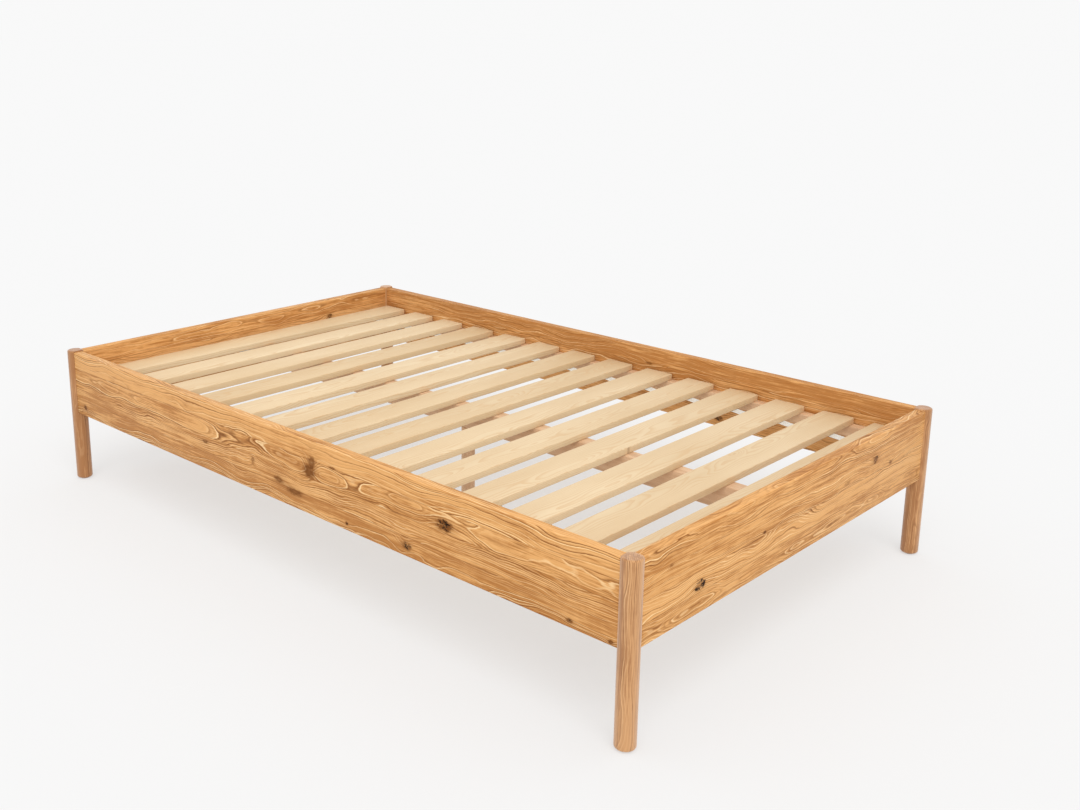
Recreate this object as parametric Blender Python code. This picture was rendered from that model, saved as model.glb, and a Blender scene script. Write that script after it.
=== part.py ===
"""A solid oak bed frame for a 120 x 200 cm mattress.

Four round legs carry four rails. Each rail end stands on a flat milled into its leg, keyed by a short
tenon and pulled tight by a hanger bolt, whose nut and half-moon washer sit in a round pocket on the
rail's inner face. A lift-out base of pine slats lies on two ledgers and on a middle beam, which hangs
in two steel shoes and stands on a round support leg with a levelling foot.

+X is the bed's width, +Y points from the foot end to the head end, +Z is up. The origin is on the
floor under the middle of the frame. Left and right are as seen from the foot end. Metres.
"""

import math

import bmesh
import bpy
from mathutils import Matrix, Vector

# Driving dimensions
MATTRESS_WIDTH = 1.200
MATTRESS_LENGTH = 2.000
MATTRESS_CLEARANCE = 0.0045
GAP = 0.0003  # between pieces that touch

# Legs
LEG_RADIUS = 0.0225
LEG_TOP = 0.400
LEG_TOP_ROUNDING = 0.0045
LEG_FOOT_ROUNDING = 0.007
LEG_FLAT = 0.017  # from the leg's axis to each milled flat
LEG_SEGMENTS = 40
PAD_RADIUS = 0.0135
PAD_THICKNESS = 0.002

# Rails
RAIL_THICKNESS = 0.028
RAIL_BOTTOM = 0.210
RAIL_TOP = 0.396
RAIL_EDGE = 0.003
TENON_THICKNESS = 0.010
TENON_LENGTH = 0.008
TENON_BOTTOM = 0.232
TENON_TOP = 0.372

# Bolted joints, measured from the leg's axis along the rail
BOLT_RADIUS = 0.004
BOLT_START = -0.013
SIDE_BOLT_HEIGHT = 0.250
END_BOLT_HEIGHT = 0.300
POCKET_PLACE = 0.083
POCKET_RADIUS = 0.017
POCKET_FLOOR = -0.0085  # from the rail's middle plane
WASHER_RADIUS = 0.0164
WASHER_CHORD = 0.009
WASHER_WIDTH = 0.015
NUT_THICKNESS = 0.0065
NUT_ACROSS_FLATS = 0.013
BOLT_PAST_NUT = 0.003

# Slatted base and its ledgers
SLAT_COUNT = 14
SLAT_WIDTH = 0.090
SLAT_THICKNESS = 0.018
SLAT_EDGE = 0.002
SLAT_END_PLAY = 0.007
SLAT_TOP = 0.336
END_SPACE = 0.015  # from an end rail to the first slat and to a ledger's end
TAPE_WIDTH = 0.030
TAPE_THICKNESS = 0.0012
TAPE_PLACE = 0.480  # across the bed; the tapes run under the slats, so the mattress lies flat
TAPE_PAST_SLAT = 0.004
LEDGER_WIDTH = 0.028
LEDGER_HEIGHT = 0.030
LEDGER_EDGE = 0.002
LEDGER_SCREWS = 7
LEDGER_SCREW_INSET = 0.070

# Middle beam, its shoes and its support leg
BEAM_WIDTH = 0.040
BEAM_HEIGHT = 0.060
BEAM_EDGE = 0.003
SHOE_STEEL = 0.002
SHOE_REACH = 0.045
SHOE_HEIGHT = 0.050
SHOE_WING = 0.025
SHOE_LIP = 0.0005
SUPPORT_RADIUS = 0.019
SUPPORT_BOTTOM = 0.032
SUPPORT_EDGE = 0.003
SUPPORT_BOLT_INTO_BEAM = 0.035
SUPPORT_BOLT_INTO_LEG = 0.040
FOOT_RADIUS = 0.019
FOOT_RIM_HEIGHT = 0.005
FOOT_RIM_ROUNDING = 0.002
FOOT_COLLAR_RADIUS = 0.0065
FOOT_COLLAR_BOTTOM = 0.009
FOOT_COLLAR_TOP = 0.014
FOOT_STEM_TOP = 0.055
FOOT_BORE_TOP = 0.080

# Wood screws, as the holes that they leave
SCREW_HOLE_RADIUS = 0.0025
SCREW_HOLE_DEPTH = 0.018  # into the rail
COUNTERSINK_RADIUS = 0.0050
COUNTERSINK_DEPTH = 0.0028

# Worked out from the driving dimensions
WELL_WIDTH = MATTRESS_WIDTH + 2 * MATTRESS_CLEARANCE
WELL_LENGTH = MATTRESS_LENGTH + 2 * MATTRESS_CLEARANCE
AXIS_X = (WELL_WIDTH + RAIL_THICKNESS) / 2
AXIS_Y = (WELL_LENGTH + RAIL_THICKNESS) / 2
RAIL_START = LEG_FLAT + GAP
RAIL_HEIGHT = RAIL_TOP - RAIL_BOTTOM
RAIL_MIDDLE = (RAIL_TOP + RAIL_BOTTOM) / 2
NUT_START = POCKET_PLACE - WASHER_CHORD + GAP
BOLT_END = NUT_START + NUT_THICKNESS + BOLT_PAST_NUT
BORE_RADIUS = BOLT_RADIUS + GAP
SLAT_BOTTOM = SLAT_TOP - SLAT_THICKNESS
SUPPORT_TOP = SLAT_BOTTOM - GAP
FIRST_SLAT = WELL_LENGTH / 2 - END_SPACE - SLAT_WIDTH / 2
SLAT_PITCH = 2 * FIRST_SLAT / (SLAT_COUNT - 1)
BEAM_BOTTOM = SUPPORT_TOP - BEAM_HEIGHT
BEAM_LENGTH = WELL_LENGTH - 2 * (SHOE_STEEL + 2 * GAP)

SIDES = {"left": -1, "right": 1}
ENDS = {"foot": -1, "head": 1}
CORNERS = {f"{end}_{side}": (SIDES[side], ENDS[end]) for side in SIDES for end in ENDS}
SMOOTH_ANGLE = math.radians(35)

# Colour, roughness and metallic value of each material
FINISHES = {
    "rail_oak": ((0.69, 0.40, 0.17), 0.45, 0.0),
    "leg_oak": ((0.62, 0.37, 0.20), 0.45, 0.0),
    "pine": ((0.80, 0.64, 0.42), 0.60, 0.0),
    "beech": ((0.72, 0.50, 0.31), 0.55, 0.0),
    "zinc_steel": ((0.62, 0.63, 0.64), 0.35, 1.0),
    "webbing": ((0.74, 0.72, 0.67), 0.90, 0.0),
    "felt": ((0.22, 0.17, 0.13), 0.95, 0.0),
}


# Building blocks


def clear_scene():
    for item in list(bpy.data.objects):
        bpy.data.objects.remove(item, do_unlink=True)


def make_material(name, colour, roughness, metallic):
    material = bpy.data.materials.new(name)
    material.use_nodes = True
    shader = material.node_tree.nodes["Principled BSDF"]
    shader.inputs["Base Color"].default_value = (*colour, 1.0)
    shader.inputs["Roughness"].default_value = roughness
    shader.inputs["Metallic"].default_value = metallic
    return material


def make_empty(name, location=(0, 0, 0), parent=None):
    empty = bpy.data.objects.new(name, None)
    empty.location = location
    empty.parent = parent
    bpy.context.scene.collection.objects.link(empty)
    return empty


def make_mesh(name, shape):
    """Turns a bmesh into a mesh with its faces pointing out and its round sides smooth."""
    shape.normal_update()
    bmesh.ops.recalc_face_normals(shape, faces=shape.faces)
    mesh = bpy.data.meshes.new(name)
    shape.to_mesh(mesh)
    shape.free()
    mesh.shade_smooth()
    mesh.set_sharp_from_angle(angle=SMOOTH_ANGLE)
    return mesh


def make_piece(name, mesh, finish, location, parent):
    """Places a piece at a world location under its parent empty."""
    piece = bpy.data.objects.new(name, mesh)
    if not mesh.materials:
        mesh.materials.append(bpy.data.materials[finish])
    piece.parent = parent
    piece.location = Vector(location) - parent.location
    bpy.context.scene.collection.objects.link(piece)
    return piece


def make_helper(name, shape):
    """A shape that only joins or cuts other pieces."""
    helper = bpy.data.objects.new(name, make_mesh(name, shape))
    helper.hide_render = True
    helper.display_type = "WIRE"
    bpy.context.scene.collection.objects.link(helper)
    return helper


def combine(piece, operation, helpers):
    for helper in helpers:
        modifier = piece.modifiers.new(helper.name, "BOOLEAN")
        modifier.operation = operation
        modifier.solver = "EXACT"
        modifier.object = helper


def add_box(shape, low, high):
    low = Vector(low)
    high = Vector(high)
    size = Matrix.Diagonal((*(high - low), 1))
    middle = Matrix.Translation((low + high) / 2)
    bmesh.ops.create_cube(shape, size=1, matrix=middle @ size)


def add_cylinder(shape, start, end, radius, segments):
    start = Vector(start)
    end = Vector(end)
    turn = (end - start).to_track_quat("Z", "Y").to_matrix().to_4x4()
    bmesh.ops.create_cone(
        shape,
        cap_ends=True,
        segments=segments,
        radius1=radius,
        radius2=radius,
        depth=(end - start).length,
        matrix=Matrix.Translation((start + end) / 2) @ turn,
    )


def arc(centre, radius, start, end, steps):
    """Points of an arc, angles in degrees."""
    angles = [math.radians(start + (end - start) * i / steps) for i in range(steps + 1)]
    return [(centre[0] + radius * math.cos(a), centre[1] + radius * math.sin(a)) for a in angles]


def add_turned(shape, profile, segments, matrix=None):
    """Turns (radius, height) points about z, with flat ends."""
    matrix = matrix or Matrix()
    rings = []
    for radius, height in profile:
        angles = [2 * math.pi * i / segments for i in range(segments)]
        points = [(radius * math.cos(a), radius * math.sin(a), height) for a in angles]
        rings.append([shape.verts.new(matrix @ Vector(point)) for point in points])
    for lower, upper in zip(rings, rings[1:]):
        for i in range(segments):
            j = (i + 1) % segments
            shape.faces.new((lower[i], lower[j], upper[j], upper[i]))
    shape.faces.new(rings[0])
    shape.faces.new(rings[-1])


def add_extruded(shape, outline, direction):
    """Extrudes a flat outline of 3-D points along a vector."""
    face = shape.faces.new([shape.verts.new(point) for point in outline])
    grown = bmesh.ops.extrude_face_region(shape, geom=[face], use_keep_orig=True)
    moved = [item for item in grown["geom"] if isinstance(item, bmesh.types.BMVert)]
    bmesh.ops.translate(shape, verts=moved, vec=direction)


def eased_bar(name, size, edge, steps=2):
    """A bar whose four long edges are rounded."""
    shape = bmesh.new()
    half = Vector(size) / 2
    add_box(shape, -half, half)
    longest = max(range(3), key=lambda axis: size[axis])
    long_edges = [line for line in shape.edges if line.calc_length() > 0.99 * size[longest]]
    bmesh.ops.bevel(
        shape, geom=long_edges, offset=edge, segments=steps, profile=0.5, affect="EDGES"
    )
    return make_mesh(name, shape)


# Rail joints


def joint_frame(side, end, on_side_rail):
    """A rail end's own axes: x along the rail from the leg's axis, y into the bed, z up."""
    along_length = Vector((0, -end, 0))
    along_width = Vector((-side, 0, 0))
    axes = (along_length, along_width) if on_side_rail else (along_width, along_length)
    frame = Matrix((*axes, (0, 0, 1))).transposed().to_4x4()
    frame.translation = (side * AXIS_X, end * AXIS_Y, 0)
    return frame


def rail_joints():
    """Each rail joint's name, with its frame and the height of its bolt."""
    joints = {}
    for corner, (side, end) in CORNERS.items():
        joints[f"{corner}_side"] = (joint_frame(side, end, True), SIDE_BOLT_HEIGHT)
        joints[f"{corner}_end"] = (joint_frame(side, end, False), END_BOLT_HEIGHT)
    return joints


def add_tenon(shape, frame, clearance=0.0, into_rail=0.0):
    block = bmesh.new()
    half = TENON_THICKNESS / 2 + clearance
    start = RAIL_START - TENON_LENGTH - clearance
    low = (start, -half, TENON_BOTTOM - clearance)
    high = (RAIL_START + into_rail, half, TENON_TOP + clearance)
    add_box(block, low, high)
    block.transform(frame)
    copy_into(shape, block)


def copy_into(shape, other):
    """Adds one bmesh to another and frees it."""
    carrier = bpy.data.meshes.new("carrier")
    other.to_mesh(carrier)
    other.free()
    shape.from_mesh(carrier)
    bpy.data.meshes.remove(carrier)


def joint_cutters(joints):
    bores = bmesh.new()
    pockets = bmesh.new()
    mortises = bmesh.new()
    for frame, height in joints.values():
        start = frame @ Vector((BOLT_START - GAP, 0, height))
        end = frame @ Vector((BOLT_END + GAP, 0, height))
        add_cylinder(bores, start, end, BORE_RADIUS, 12)
        floor = frame @ Vector((POCKET_PLACE, POCKET_FLOOR, height))
        mouth = frame @ Vector((POCKET_PLACE, RAIL_THICKNESS, height))
        add_cylinder(pockets, floor, mouth, POCKET_RADIUS, 28)
        add_tenon(mortises, frame, clearance=GAP, into_rail=GAP)
    return (
        make_helper("bolt_bores", bores),
        make_helper("nut_pockets", pockets),
        make_helper("mortises", mortises),
    )


def build_joint_hardware(joints, bores, parent):
    for name, (frame, height) in joints.items():
        origin = frame @ Vector((POCKET_PLACE, 0, height))
        to_origin = Matrix.Translation(-origin) @ frame

        bolt = bmesh.new()
        add_cylinder(bolt, (BOLT_START, 0, height), (BOLT_END, 0, height), BOLT_RADIUS, 12)
        bolt.transform(to_origin)
        mesh = make_mesh("rail_bolt", bolt)
        make_piece(f"rail_bolt_{name}", mesh, "zinc_steel", origin, parent)

        washer = bmesh.new()
        half_angle = math.degrees(math.acos(WASHER_CHORD / WASHER_RADIUS))
        centre = (POCKET_PLACE, height)
        curve = arc(centre, WASHER_RADIUS, 180 - half_angle, 180 + half_angle, 8)
        outline = [(along, -WASHER_WIDTH / 2, up) for along, up in curve]
        add_extruded(washer, outline, (0, WASHER_WIDTH, 0))
        washer.transform(to_origin)
        mesh = make_mesh("half_moon_washer", washer)
        piece = make_piece(f"half_moon_washer_{name}", mesh, "zinc_steel", origin, parent)
        combine(piece, "DIFFERENCE", [bores])

        nut = bmesh.new()
        corner_radius = NUT_ACROSS_FLATS / math.sqrt(3)
        end = NUT_START + NUT_THICKNESS
        add_cylinder(nut, (NUT_START, 0, height), (end, 0, height), corner_radius, 6)
        nut.transform(to_origin)
        mesh = make_mesh("rail_nut", nut)
        piece = make_piece(f"rail_nut_{name}", mesh, "zinc_steel", origin, parent)
        combine(piece, "DIFFERENCE", [bores])


# Legs


def flat_cutters():
    """Blocks that mill each leg's two flats, from the rails' undersides up."""
    across = bmesh.new()
    along = bmesh.new()
    reach = 2 * LEG_RADIUS
    for side, end in CORNERS.values():
        for shape, on_side_rail in ((across, False), (along, True)):
            block = bmesh.new()
            low = (LEG_FLAT, -reach, RAIL_BOTTOM - GAP)
            high = (reach, reach, LEG_TOP + reach)
            add_box(block, low, high)
            block.transform(joint_frame(side, end, on_side_rail))
            copy_into(shape, block)
    return make_helper("flats_across", across), make_helper("flats_along", along)


def leg_mesh():
    bottom = PAD_THICKNESS + GAP
    foot_arc = (LEG_RADIUS - LEG_FOOT_ROUNDING, bottom + LEG_FOOT_ROUNDING)
    top_arc = (LEG_RADIUS - LEG_TOP_ROUNDING, LEG_TOP - LEG_TOP_ROUNDING)
    profile = arc(foot_arc, LEG_FOOT_ROUNDING, -90, 0, 4)
    profile += arc(top_arc, LEG_TOP_ROUNDING, 0, 90, 3)
    shape = bmesh.new()
    add_turned(shape, profile, LEG_SEGMENTS)
    return make_mesh("leg", shape)


def build_legs(bores, mortises, parent):
    mesh = leg_mesh()
    pad = bmesh.new()
    add_cylinder(pad, (0, 0, 0), (0, 0, PAD_THICKNESS), PAD_RADIUS, 24)
    pad_mesh = make_mesh("felt_pad", pad)
    flats = flat_cutters()
    for corner, (side, end) in CORNERS.items():
        place = (side * AXIS_X, end * AXIS_Y, 0)
        leg = make_piece(f"leg_{corner}", mesh, "leg_oak", place, parent)
        combine(leg, "DIFFERENCE", [*flats, mortises, bores])
        make_piece(f"felt_pad_{corner}", pad_mesh, "felt", place, parent)


# Rails, ledgers and their screw holes


def screw_hole(face, direction):
    """A countersunk hole whose mouth is at a point of a face, running along a direction."""
    shape = bmesh.new()
    profile = [
        (SCREW_HOLE_RADIUS, LEDGER_WIDTH + SCREW_HOLE_DEPTH),
        (SCREW_HOLE_RADIUS, COUNTERSINK_DEPTH),
        (COUNTERSINK_RADIUS, 0),
        (COUNTERSINK_RADIUS, -COUNTERSINK_DEPTH),
    ]
    turn = Vector(direction).to_track_quat("Z", "Y").to_matrix().to_4x4()
    add_turned(shape, profile, 12, Matrix.Translation(face) @ turn)
    return shape


def ledger_screw_holes():
    shape = bmesh.new()
    reach = WELL_LENGTH / 2 - END_SPACE - LEDGER_SCREW_INSET
    height = SUPPORT_TOP - LEDGER_HEIGHT / 2
    for side in SIDES.values():
        face = side * (WELL_WIDTH / 2 - GAP - LEDGER_WIDTH)
        for i in range(LEDGER_SCREWS):
            along = reach * (2 * i / (LEDGER_SCREWS - 1) - 1)
            copy_into(shape, screw_hole((face, along, height), (side, 0, 0)))
    return make_helper("ledger_screw_holes", shape)


def shoe_screw_holes():
    shape = bmesh.new()
    for end in ENDS.values():
        face = end * WELL_LENGTH / 2
        for side in SIDES.values():
            across = side * (BEAM_WIDTH / 2 + SHOE_STEEL + SHOE_WING / 2)
            for up in (SHOE_HEIGHT / 4, 3 * SHOE_HEIGHT / 4):
                start = (across, face + end * SCREW_HOLE_DEPTH, BEAM_BOTTOM + up)
                stop = (across, face - end * 2 * SHOE_STEEL, BEAM_BOTTOM + up)
                add_cylinder(shape, start, stop, SCREW_HOLE_RADIUS, 12)
    return make_helper("shoe_screw_holes", shape)


def tenons_of(rail, joints):
    shape = bmesh.new()
    for frame in joints:
        add_tenon(shape, frame, into_rail=TENON_LENGTH)
    return make_helper(f"{rail}_tenons", shape)


def build_rails(joints, cutters, ledger_holes, shoe_holes, parent):
    side_length = 2 * (AXIS_Y - RAIL_START)
    end_length = 2 * (AXIS_X - RAIL_START)
    side_mesh = eased_bar("side_rail", (RAIL_THICKNESS, side_length, RAIL_HEIGHT), RAIL_EDGE)
    end_mesh = eased_bar("end_rail", (end_length, RAIL_THICKNESS, RAIL_HEIGHT), RAIL_EDGE)
    for name, side in SIDES.items():
        rail = f"side_rail_{name}"
        place = (side * AXIS_X, 0, RAIL_MIDDLE)
        piece = make_piece(rail, side_mesh, "rail_oak", place, parent)
        ends = [joints[f"{end}_{name}_side"][0] for end in ENDS]
        combine(piece, "UNION", [tenons_of(rail, ends)])
        combine(piece, "DIFFERENCE", [*cutters, ledger_holes])
    for name, end in ENDS.items():
        rail = f"{name}_rail"
        place = (0, end * AXIS_Y, RAIL_MIDDLE)
        piece = make_piece(rail, end_mesh, "rail_oak", place, parent)
        ends = [joints[f"{name}_{side}_end"][0] for side in SIDES]
        combine(piece, "UNION", [tenons_of(rail, ends)])
        combine(piece, "DIFFERENCE", [*cutters, shoe_holes])


def build_ledgers(holes, parent):
    length = WELL_LENGTH - 2 * END_SPACE
    mesh = eased_bar("slat_ledger", (LEDGER_WIDTH, length, LEDGER_HEIGHT), LEDGER_EDGE)
    for name, side in SIDES.items():
        across = side * (WELL_WIDTH / 2 - GAP - LEDGER_WIDTH / 2)
        place = (across, 0, SUPPORT_TOP - LEDGER_HEIGHT / 2)
        ledger = make_piece(f"slat_ledger_{name}", mesh, "beech", place, parent)
        combine(ledger, "DIFFERENCE", [holes])


# Middle beam and its support


def shoe_mesh(end):
    """A steel shoe on an end rail: a back plate with wings, two cheeks and a seat for the beam."""
    shape = bmesh.new()
    back = GAP
    front = GAP + SHOE_STEEL
    inner = BEAM_WIDTH / 2 + GAP
    outer = inner + SHOE_STEEL
    wing = outer + SHOE_WING
    right = [(wing, back), (wing, front), (outer, front)]
    right += [(outer, SHOE_REACH), (inner, SHOE_REACH), (inner, front)]
    left = [(-across, away) for across, away in reversed(right)]
    bottom = -GAP - SHOE_STEEL - SHOE_LIP
    outline = [(across, -end * away, bottom) for across, away in right + left]
    add_extruded(shape, outline, (0, 0, SHOE_HEIGHT - bottom))
    return make_mesh("beam_shoe", shape)


def shoe_seat(name, end, place):
    shape = bmesh.new()
    half = BEAM_WIDTH / 2 + GAP + SHOE_STEEL / 2
    near = -end * (GAP + SHOE_STEEL / 2)
    far = -end * (SHOE_REACH - SHOE_STEEL / 2)
    low = Vector((-half, min(near, far), -GAP - SHOE_STEEL))
    high = Vector((half, max(near, far), -GAP))
    add_box(shape, Vector(place) + low, Vector(place) + high)
    return make_helper(f"{name}_seat", shape)


def build_beam(shoe_holes, parent):
    bolt = bmesh.new()
    bolt_low = BEAM_BOTTOM - SUPPORT_BOLT_INTO_LEG
    bolt_high = BEAM_BOTTOM + SUPPORT_BOLT_INTO_BEAM
    add_cylinder(bolt, (0, 0, bolt_low), (0, 0, bolt_high), BOLT_RADIUS, 16)
    mesh = make_mesh("support_leg_bolt", bolt)
    make_piece("support_leg_bolt", mesh, "zinc_steel", (0, 0, 0), parent)
    bore = bmesh.new()
    add_cylinder(bore, (0, 0, bolt_low - GAP), (0, 0, bolt_high + GAP), BORE_RADIUS, 16)
    bolt_bore = make_helper("support_bolt_bore", bore)

    beam_mesh = eased_bar("middle_beam", (BEAM_WIDTH, BEAM_LENGTH, BEAM_HEIGHT), BEAM_EDGE)
    place = (0, 0, BEAM_BOTTOM + BEAM_HEIGHT / 2)
    beam = make_piece("middle_beam", beam_mesh, "beech", place, parent)
    combine(beam, "DIFFERENCE", [bolt_bore])

    for name, end in ENDS.items():
        place = (0, end * WELL_LENGTH / 2, BEAM_BOTTOM)
        mesh = shoe_mesh(end)
        shoe = make_piece(f"beam_shoe_{name}", mesh, "zinc_steel", place, parent)
        combine(shoe, "UNION", [shoe_seat(f"beam_shoe_{name}", end, place)])
        combine(shoe, "DIFFERENCE", [shoe_holes])

    build_support_leg(bolt_bore, parent)


def build_support_leg(bolt_bore, parent):
    edge = SUPPORT_EDGE
    top = BEAM_BOTTOM - GAP
    profile = arc((SUPPORT_RADIUS - edge, SUPPORT_BOTTOM + edge), edge, -90, 0, 2)
    profile += arc((SUPPORT_RADIUS - edge, top - edge), edge, 0, 90, 2)
    support = bmesh.new()
    add_turned(support, profile, 32)
    leg = make_piece("support_leg", make_mesh("support_leg", support), "beech", (0, 0, 0), parent)
    bore = bmesh.new()
    below = SUPPORT_BOTTOM - FOOT_COLLAR_TOP
    add_cylinder(bore, (0, 0, below), (0, 0, FOOT_BORE_TOP), BORE_RADIUS, 16)
    combine(leg, "DIFFERENCE", [bolt_bore, make_helper("stem_bore", bore)])


def build_levelling_foot(parent):
    rim = FOOT_RADIUS - FOOT_RIM_ROUNDING
    profile = [(rim, 0)]
    profile += arc((rim, FOOT_RIM_HEIGHT), FOOT_RIM_ROUNDING, 0, 70, 2)
    profile += [(FOOT_COLLAR_RADIUS, FOOT_COLLAR_BOTTOM), (FOOT_COLLAR_RADIUS, FOOT_COLLAR_TOP)]
    profile += [(BOLT_RADIUS, FOOT_COLLAR_TOP), (BOLT_RADIUS, FOOT_STEM_TOP)]
    shape = bmesh.new()
    add_turned(shape, profile, 24)
    mesh = make_mesh("levelling_foot", shape)
    make_piece("levelling_foot", mesh, "zinc_steel", (0, 0, 0), parent)


# Slatted base


def build_slatted_base(parent):
    slat_length = WELL_WIDTH - 2 * SLAT_END_PLAY
    mesh = eased_bar("slat", (slat_length, SLAT_WIDTH, SLAT_THICKNESS), SLAT_EDGE)
    for i in range(SLAT_COUNT):
        along = i * SLAT_PITCH - FIRST_SLAT
        place = (0, along, SLAT_BOTTOM + SLAT_THICKNESS / 2)
        make_piece(f"slat_{i + 1:02d}", mesh, "pine", place, parent)
    tape = bmesh.new()
    reach = FIRST_SLAT + SLAT_WIDTH / 2 - TAPE_PAST_SLAT
    half = TAPE_WIDTH / 2
    add_box(tape, (-half, -reach, 0), (half, reach, TAPE_THICKNESS))
    tape_mesh = make_mesh("slat_tape", tape)
    for name, side in SIDES.items():
        place = (side * TAPE_PLACE, 0, SLAT_BOTTOM - GAP - TAPE_THICKNESS)
        make_piece(f"slat_tape_{name}", tape_mesh, "webbing", place, parent)


def main():
    clear_scene()
    for name, finish in FINISHES.items():
        make_material(name, *finish)
    frame = make_empty("bed_frame")
    base = make_empty("slatted_base", (0, 0, SLAT_BOTTOM), frame)
    foot = make_empty("levelling_foot_axis", (0, 0, 0), frame)

    joints = rail_joints()
    bores, pockets, mortises = joint_cutters(joints)
    ledger_holes = ledger_screw_holes()
    shoe_holes = shoe_screw_holes()
    build_legs(bores, mortises, frame)
    build_rails(joints, (bores, pockets), ledger_holes, shoe_holes, frame)
    build_joint_hardware(joints, bores, frame)
    build_ledgers(ledger_holes, frame)
    build_beam(shoe_holes, frame)
    build_levelling_foot(foot)
    build_slatted_base(base)


main()
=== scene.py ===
import math

import bmesh
import bpy
from mathutils import Matrix, Vector


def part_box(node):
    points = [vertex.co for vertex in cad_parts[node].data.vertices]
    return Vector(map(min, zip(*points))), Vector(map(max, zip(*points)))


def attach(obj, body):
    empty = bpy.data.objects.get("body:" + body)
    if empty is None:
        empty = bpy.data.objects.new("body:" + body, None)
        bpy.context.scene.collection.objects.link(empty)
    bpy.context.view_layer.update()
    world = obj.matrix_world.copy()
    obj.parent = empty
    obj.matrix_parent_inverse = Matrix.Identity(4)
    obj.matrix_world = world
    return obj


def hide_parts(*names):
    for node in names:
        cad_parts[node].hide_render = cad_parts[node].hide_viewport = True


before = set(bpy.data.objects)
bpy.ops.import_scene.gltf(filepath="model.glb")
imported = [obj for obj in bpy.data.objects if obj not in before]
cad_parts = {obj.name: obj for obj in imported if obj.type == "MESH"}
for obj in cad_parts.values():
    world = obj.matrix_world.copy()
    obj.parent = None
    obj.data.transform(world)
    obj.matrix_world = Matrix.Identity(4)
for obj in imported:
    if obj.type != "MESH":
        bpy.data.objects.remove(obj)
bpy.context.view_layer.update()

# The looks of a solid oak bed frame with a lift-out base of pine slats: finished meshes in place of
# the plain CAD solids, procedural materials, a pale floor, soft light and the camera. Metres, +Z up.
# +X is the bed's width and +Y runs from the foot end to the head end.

GAP = 0.0003  # between pieces that touch

# Legs and rails
LEG_TOP_ROUNDING = 0.0045
LEG_FOOT_ROUNDING = 0.007
LEG_FLAT = 0.017  # from the leg's axis to each milled flat
TENON_LENGTH = 0.008
TENON_THICKNESS = 0.010
TENON_BOTTOM = 0.232
TENON_TOP = 0.372
RAIL_EDGE = 0.003
HALF_RAIL = 0.014  # half a rail's thickness
PAD_EDGE = 0.0006
STAVES = 4  # boards glued edge to edge in each rail

# Bolted joints, measured from the leg's axis along the rail
POCKET_PLACE = 0.083
POCKET_RADIUS = 0.017
POCKET_FLOOR = -0.0085  # from the rail's middle plane
BORE_RADIUS = 0.0043
WASHER_RADIUS = 0.0164
WASHER_CHORD = 0.009
WASHER_WIDTH = 0.015
NUT_ACROSS_FLATS = 0.013
BOLT_RADIUS = 0.004
BOLT_START = -0.013
WOOD_THREAD_END = 0.014
MACHINE_THREAD_START = 0.058
M8_PITCH = 0.00125
M8_DEPTH = 0.00065
WOOD_PITCH = 0.003
WOOD_DEPTH = 0.0009

# Wood screws
SCREW_SHANK_RADIUS = 0.0022
SCREW_HOLE_RADIUS = 0.0025
SCREW_HOLE_DEPTH = 0.018
COUNTERSINK_RADIUS = 0.0050
COUNTERSINK_DEPTH = 0.0028
LEDGER_SCREWS = 7
LEDGER_SCREW_INSET = 0.070
LEDGER_SCREW_LENGTH = 0.042
SHOE_SCREW_LENGTH = 0.018

# Beam shoes
SHOE_STEEL = 0.002
SHOE_WING = 0.025
SHOE_EDGE = 0.0004

SUPPORT_EDGE = 0.003
STEM_BORE_TOP = 0.080  # of the levelling foot's bore in the support leg

SLAT_COUNT = 14
TAPE_SAG = 0.0022
STAPLE_OFFSET = 0.022  # from a slat's middle line
SIDES = {"left": -1, "right": 1}
ENDS = {"foot": -1, "head": 1}
SMOOTH_ANGLE = math.radians(35)


def middle_of(node_name):
    low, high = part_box(node_name)
    return (low + high) / 2


# Shader building blocks


class Field:
    """A value that varies over a surface: one output of a shader node, open to arithmetic."""

    def __init__(self, tree, socket):
        self.tree = tree
        self.socket = socket

    def __add__(self, other):
        return calculate(self.tree, "ADD", self, other)

    def __radd__(self, other):
        return calculate(self.tree, "ADD", other, self)

    def __sub__(self, other):
        return calculate(self.tree, "SUBTRACT", self, other)

    def __rsub__(self, other):
        return calculate(self.tree, "SUBTRACT", other, self)

    def __mul__(self, other):
        return calculate(self.tree, "MULTIPLY", self, other)

    def __rmul__(self, other):
        return calculate(self.tree, "MULTIPLY", other, self)

    def __truediv__(self, other):
        return calculate(self.tree, "DIVIDE", self, other)


def feed(tree, socket, value):
    """Links a field to a node's input, or sets the input to a number or colour."""
    if isinstance(value, Field):
        tree.links.new(value.socket, socket)
    elif socket.type == "RGBA":
        socket.default_value = (*value, 1.0)
    else:
        socket.default_value = value


def node(tree, kind, inputs, output=0, **settings):
    """Adds a shader node with its settings and inputs, and returns one of its outputs."""
    made = tree.nodes.new(kind)
    for name, value in settings.items():
        setattr(made, name, value)
    for key, value in inputs.items():
        feed(tree, made.inputs[key], value)
    return Field(tree, made.outputs[output])


def calculate(tree, operation, *values):
    return node(tree, "ShaderNodeMath", dict(enumerate(values)), operation=operation)


def floor_of(value):
    return calculate(value.tree, "FLOOR", value)


def root_of(value):
    return calculate(value.tree, "SQRT", value)


def vector(x, y, z):
    tree = next(value.tree for value in (x, y, z) if isinstance(value, Field))
    return node(tree, "ShaderNodeCombineXYZ", {0: x, 1: y, 2: z})


def parts(value):
    """The three parts of a vector."""
    split = value.tree.nodes.new("ShaderNodeSeparateXYZ")
    feed(value.tree, split.inputs[0], value)
    return [Field(value.tree, output) for output in split.outputs]


def surface_point(tree):
    """The point of the surface in its piece's own axes, which at rest are the bed's."""
    return node(tree, "ShaderNodeTexCoord", {}, "Object")


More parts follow.
